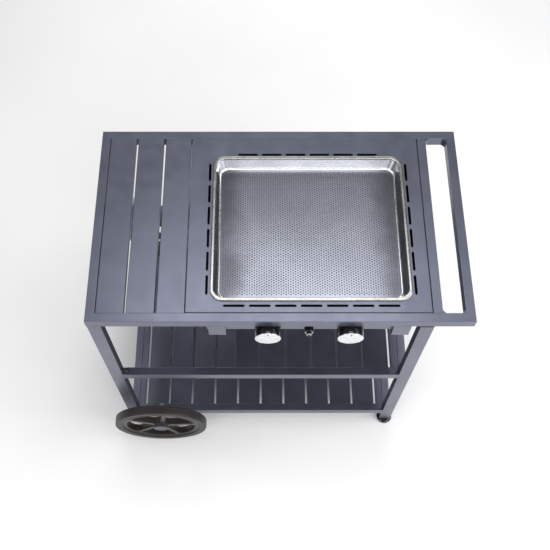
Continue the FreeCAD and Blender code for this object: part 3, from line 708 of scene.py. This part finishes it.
def makeIgniterButton(place, axis):
    low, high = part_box("igniter_button")
    radius = (high.x - low.x) / 2
    outline = [(igniter["buttonPin"], low.y + igniter["dish"], 0)]
    outline += [(radius * share, low.y + back, corner) for share, back, corner in igniter["button"]]
    outline += [(radius, high.y, igniter["buttonBackRound"]), (igniter["buttonPin"], high.y, 0)]
    shape = bmesh.new()
    turned(shape, outline, axis, steps=igniter["buttonSteps"])
    piece = newPiece("igniterKnob", shape, "knobBlack", "chrome")
    bright = radius * igniter["buttonBright"]
    for face in piece.data.polygons:
        spot = face.center
        out = math.hypot(spot.x - place.x, spot.z - place.z)
        if out > bright and spot.y < low.y + igniter["buttonBrightDepth"]:
            face.material_index = 1
    fit(piece, "igniter_button", "chrome", "igniter_button")


def makeIgniter():
    place = middle("igniter_body")
    axis = (place.x, 0, place.z)
    makeIgniterBarrel(axis)
    makeIgniterRing(place, axis)
    makeIgniterButton(place, axis)


makeIgniter()
print("igniter made")


wheel = {
    "steps": 128, "arc": 4, "section": 0.0245, "shoulder": 0.013,
    # side wall: out from the bore, in from the face, corner
    "sideWall": [(0.0, 0.0015, 0.001), (0.003, 0.0, 0.001), (0.0075, 0.0002, 0.0006),
                 (0.0085, 0.0012, 0.0005), (0.0095, 0.0002, 0.0006)],
    "tyreArc": 5, "grooveFrom": 0.004, "grooveDepth": 0.0012, "grooveWidth": 0.0022, "grooveEdge": 0.0004,
    "grooveRound": 0.0005,
    "rimSection": 0.014, "inset": 0.004, "backInset": 0.001, "lip": 0.0022, "lipDrop": 0.001,
    "lipRound": 0.0012, "lipEdge": 0.0008, "trough": 0.0016, "troughRound": 0.001, "troughEnd": 0.00352,
    "bead": 0.0006, "beadWidth": 0.00176,
    "spokes": 5, "spokeAngle": 79, "spokeInner": 0.017, "spokeOuter": 0.013, "spokeSpan": 0.121,
    "spokeInset": 0.002, "spokeStart": 0.020, "spokeSunk": 0.004, "flare": 0.012, "flareSteps": 7,
    "edge": 0.0014, "rimSharp": 28,
    "hub": 0.026, "hubSteps": 72, "hubTaper": 0.001, "hubRound": 0.0015, "hubBackRound": 0.002,
    "bore": 0.00605, "boreRound": 0.0006, "recess": 0.012, "recessDepth": 0.009, "recessRound": 0.0005,
    # hub cap: share of its radius, in from its face, corner
    "cap": [(0.60, 0.0012, 0.001), (0.68, 0.0002, 0.001), (0.90, 0.0002, 0.002), (1.0, 0.0022, 0.0012)],
    "capPin": 0.0004, "capDish": 0.0012, "capEdge": 0.0004, "capSteps": 80,
}
wayIn = {"front": 1, "back": -1}  # along Y, from a wheel's outer face into it


# axle centre, outer face, radius and width of the tyre
def wheelPlace(end):
    low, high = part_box(end + "_tyre")
    face = low.y if end == "front" else high.y
    return middle(end + "_tyre"), face, (high.x - low.x) / 2, high.y - low.y


# moves an outline that counts from a face to where that face is
def alongWheel(outline, face, way):
    return [(r, face + way * a, corner) for r, a, corner in outline]


def makeTyre(end):
    centre, face, radius, width = wheelPlace(end)
    bore = radius - wheel["section"]
    groove = width / 2 - wheel["grooveFrom"]
    half = wheel["grooveWidth"] / 2
    side = [(bore + out, back, corner) for out, back, corner in wheel["sideWall"]]
    side += [(radius, 0.0, wheel["shoulder"]), (radius, groove - 2 * half, wheel["grooveEdge"]),
             (radius - wheel["grooveDepth"], groove - half, wheel["grooveRound"]),
             (radius, groove, wheel["grooveEdge"])]
    outline = side + [(r, width - a, corner) for r, a, corner in reversed(side)]
    shape = bmesh.new()
    turned(shape, alongWheel(outline, face, wayIn[end]), (centre.x, 0, centre.z), steps=wheel["steps"],
           closed=True, arc=wheel["tyreArc"])
    fit(newPiece(end + "Tyre", shape, "tyreRubber"), "wheel_" + end, "tyre_rubber", end + "_tyre")


# straight taper from the hub, flaring out where it meets the rim ring
def spokeOutline(reach, inset):
    flare = wheel["flare"]
    steps = wheel["flareSteps"]
    stations = [wheel["spokeStart"], reach - flare]
    stations += [reach - flare + flare * k / steps for k in range(1, steps + 1)]
    stations.append(reach + wheel["spokeSunk"])
    side = []
    for r in stations:
        share = r / wheel["spokeSpan"]
        half = (wheel["spokeInner"] + (wheel["spokeOuter"] - wheel["spokeInner"]) * share) / 2
        into = min(max(r - (reach - flare), 0), flare)
        side.append((r, half + flare - math.sqrt(flare ** 2 - into ** 2) - inset))
    return side + [(r, -half) for r, half in reversed(side)]


def addSpoke(shape, centre, angle, reach, front, back, way):
    edge = wheel["edge"]
    step = edge * way
    cosine, sine = math.cos(angle), math.sin(angle)
    rings = []
    for y, inset in ((front, edge), (front + step, 0), (back - step, 0), (back, edge)):
        ring = []
        for along, aside in spokeOutline(reach, inset):
            ring.append(Vector((centre.x + along * cosine - aside * sine, y,
                                centre.z + along * sine + aside * cosine)))
        rings.append(ring)
    loft(shape, rings)


def makeRim(end):
    centre, face, radius, width = wheelPlace(end)
    way = wayIn[end]
    place = (centre.x, 0, centre.z)
    bore = radius - wheel["section"]
    inside = bore - wheel["rimSection"]
    near, far = wheel["inset"], width - wheel["backInset"]
    shape = bmesh.new()
    spokeFront = face + way * (near + wheel["spokeInset"])
    for number in range(wheel["spokes"]):
        angle = math.radians(wheel["spokeAngle"] + number * 360 / wheel["spokes"])
        addSpoke(shape, centre, angle, inside, spokeFront, face + way * far, way)

    lip, lipEdge, bead = wheel["lip"], wheel["lipEdge"], wheel["bead"]
    trough, troughRound = near + wheel["trough"], wheel["troughRound"]
    ring = [(inside, near + wheel["lipDrop"], wheel["lipRound"]), (inside + lip, near, lipEdge),
            (inside + 2 * lip, trough, troughRound), (bore - wheel["troughEnd"], trough, troughRound),
            (bore - wheel["beadWidth"], near - bead, lipEdge), (bore, near - bead, bead),
            (bore, far, bead), (inside + lip, far, lipEdge),
            (inside, far - wheel["lipDrop"], wheel["lipRound"])]
    turned(shape, alongWheel(ring, face, way), place, steps=wheel["steps"], closed=True, arc=wheel["arc"])

    recess = near + wheel["recessDepth"]
    hub = [(wheel["bore"], recess, 0), (wheel["recess"], recess, wheel["recessRound"]),
           (wheel["recess"], near, wheel["boreRound"]), (wheel["hub"], near, wheel["hubRound"]),
           (wheel["hub"] + wheel["hubTaper"], width, wheel["hubBackRound"]),
           (wheel["bore"], width, wheel["boreRound"])]
    turned(shape, alongWheel(hub, face, way), place, steps=wheel["hubSteps"], closed=True,
           arc=wheel["arc"])
    piece = newPiece(end + "Rim", shape, "rimPlastic", sharp=wheel["rimSharp"])
    fit(piece, "wheel_" + end, "rim_plastic", end + "_rim")


def makeHubCap(end):
    low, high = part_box(end + "_hub_cap")
    centre = middle(end + "_tyre")
    radius = (high.x - low.x) / 2
    thick = high.y - low.y
    outline = [(wheel["capPin"], wheel["capDish"], 0)]
    outline += [(radius * share, back, corner) for share, back, corner in wheel["cap"]]
    outline += [(radius, thick, wheel["capEdge"]), (wheel["capPin"], thick, 0)]
    face = low.y if end == "front" else high.y
    shape = bmesh.new()
    turned(shape, alongWheel(outline, face, wayIn[end]), (centre.x, 0, centre.z), steps=wheel["capSteps"])
    fit(newPiece(end + "HubCap", shape, "capPlastic"), "wheel_" + end, "cap_plastic", end + "_hub_cap")


for end in ("front", "back"):
    makeTyre(end)
    makeRim(end)
    makeHubCap(end)
print("wheels made")


foot = {
    "pin": 0.0003, "radius": 0.026, "bevel": 0.003, "soleRound": 0.001, "lowRound": 0.002,
    "rimTop": 0.0065, "highRound": 0.003, "crown": 0.7, "crownRound": 0.008, "pad": 0.011,
    "neck": 0.012, "neckRound": 0.0012, "neckTop": 0.015, "neckEdge": 0.0004,
    "spigot": 0.008, "spigotEdge": 0.0002, "spigotRound": 0.0015, "steps": 72,
}


def makeFeet():
    low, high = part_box("glide_feet")
    radius, pad, neck, spigot = foot["radius"], foot["pad"], foot["neck"], foot["spigot"]
    outline = [
        (foot["pin"], 0.0, 0), (radius - foot["bevel"], 0.0, foot["soleRound"]),
        (radius, foot["bevel"], foot["lowRound"]), (radius, foot["rimTop"], foot["highRound"]),
        (radius * foot["crown"], pad, foot["crownRound"]), (neck, pad, foot["neckRound"]),
        (neck, foot["neckTop"], foot["neckEdge"]), (spigot, foot["neckTop"], foot["spigotEdge"]),
        (spigot, high.z, foot["spigotRound"]), (foot["pin"], high.z, 0),
    ]
    x = (low.x + high.x) / 2
    shape = bmesh.new()
    for y in (low.y + radius, high.y - radius):
        turned(shape, outline, (x, y, low.z), axis="Z", steps=foot["steps"])
    fit(newPiece("glideFeet", shape, "footPlastic"), "frame", "foot_plastic", "glide_feet")


hook = {"pin": 0.0003, "neckShare": 0.62, "collar": 0.003, "slope": 0.001, "head": 0.005,
        "collarRound": 0.0006, "round": 0.001, "headRound": 0.0022, "steps": 48}


def makeHook():
    low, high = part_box("leg_hook")
    place = middle("leg_hook")
    radius = (high.z - low.z) / 2
    neck = radius * hook["neckShare"]
    length = high.x - low.x
    head = length - hook["head"]
    collar, slope, soft = hook["collar"], hook["slope"], hook["round"]
    outline = [(hook["pin"], 0, 0), (radius, 0, hook["collarRound"]), (radius, collar, soft),
               (neck, collar + slope, soft), (neck, head - slope, soft), (radius, head, soft),
               (radius, length, hook["headRound"]), (hook["pin"], length, 0)]
    shape = bmesh.new()
    turned(shape, outline, (low.x, place.y, place.z), axis="X", steps=hook["steps"])
    fit(newPiece("hookPin", shape, "footPlastic"), "frame", "foot_plastic", "leg_hook")


makeFeet()
makeHook()
print("feet and hook made")


screw = {"radius": 0.005, "out": 0.003, "crown": 0.45, "rim": 0.25, "crownSteps": 5, "socket": 0.0024,
         "deep": 0.0019, "sides": 24}


# button head with a six-sided socket, its back on the origin and its face to -Y
def screwHead():
    r, out, steps = screw["radius"], screw["out"], screw["sides"]
    rings = [circle(r, 0.0, (0, 0, 0), "Y", steps)]
    for k in range(screw["crownSteps"]):
        angle = math.pi / 2 * k / screw["crownSteps"]
        reach = r * (1 - screw["crown"] + screw["crown"] * math.cos(angle))
        rise = out * (screw["rim"] + (1 - screw["rim"]) * math.sin(angle))
        rings.append(circle(reach, -rise, (0, 0, 0), "Y", steps))
    for y in (-out, screw["deep"] - out):
        ring = []
        for k in range(steps):
            angle = 2 * math.pi * k / steps
            off = (angle + math.pi / 6) % (math.pi / 3) - math.pi / 6
            reach = screw["socket"] * math.cos(math.pi / 6) / math.cos(off)
            ring.append(Vector((reach * math.cos(angle), y, reach * math.sin(angle))))
        rings.append(ring)
    shape = bmesh.new()
    loft(shape, rings)
    return newPiece("screwHead", shape, "zincSteel")


# puts one shape on every point, turned about Z by the point's own "facing" angle
def copiesTree(material):
    tree, given = newTree("copies", [("Shape", "Object")])
    shape = put(tree, "GeometryNodeObjectInfo", {"Object": given["Shape"]}).outputs["Geometry"]
    facing = put(tree, "GeometryNodeInputNamedAttribute", {"Name": "facing"}, data_type="FLOAT")
    turn = put(tree, "ShaderNodeCombineXYZ", {"Z": facing.outputs["Attribute"]}).outputs[0]
    copies = put(tree, "GeometryNodeInstanceOnPoints", {"Points": given["Geometry"], "Instance": shape,
                                                        "Rotation": turn}).outputs[0]
    endTree(tree, copies, material)
    return tree


def makeScrews():
    low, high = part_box("bracket_screws")
    height = (low.z + high.z) / 2
    places = []
    angles = []
    for x in (low.x + screw["radius"], high.x - screw["radius"]):
        for y, angle in ((low.y + screw["out"], 0.0), (high.y - screw["out"], math.pi)):
            places.append((x, y, height))
            angles.append(angle)
    points = bpy.data.meshes.new("screwPlaces")
    points.from_pydata(places, [], [])
    points.attributes.new("facing", "FLOAT", "POINT").data.foreach_set("value", angles)
    head = screwHead()
    piece = grow("bracketScrews", copiesTree(materials["zincSteel"]), {"Shape": head}, start=points)
    bpy.data.objects.remove(head)
    fit(piece, "frame", "zinc_steel", "bracket_screws")


makeScrews()
print("screws made")

print("all pieces made")
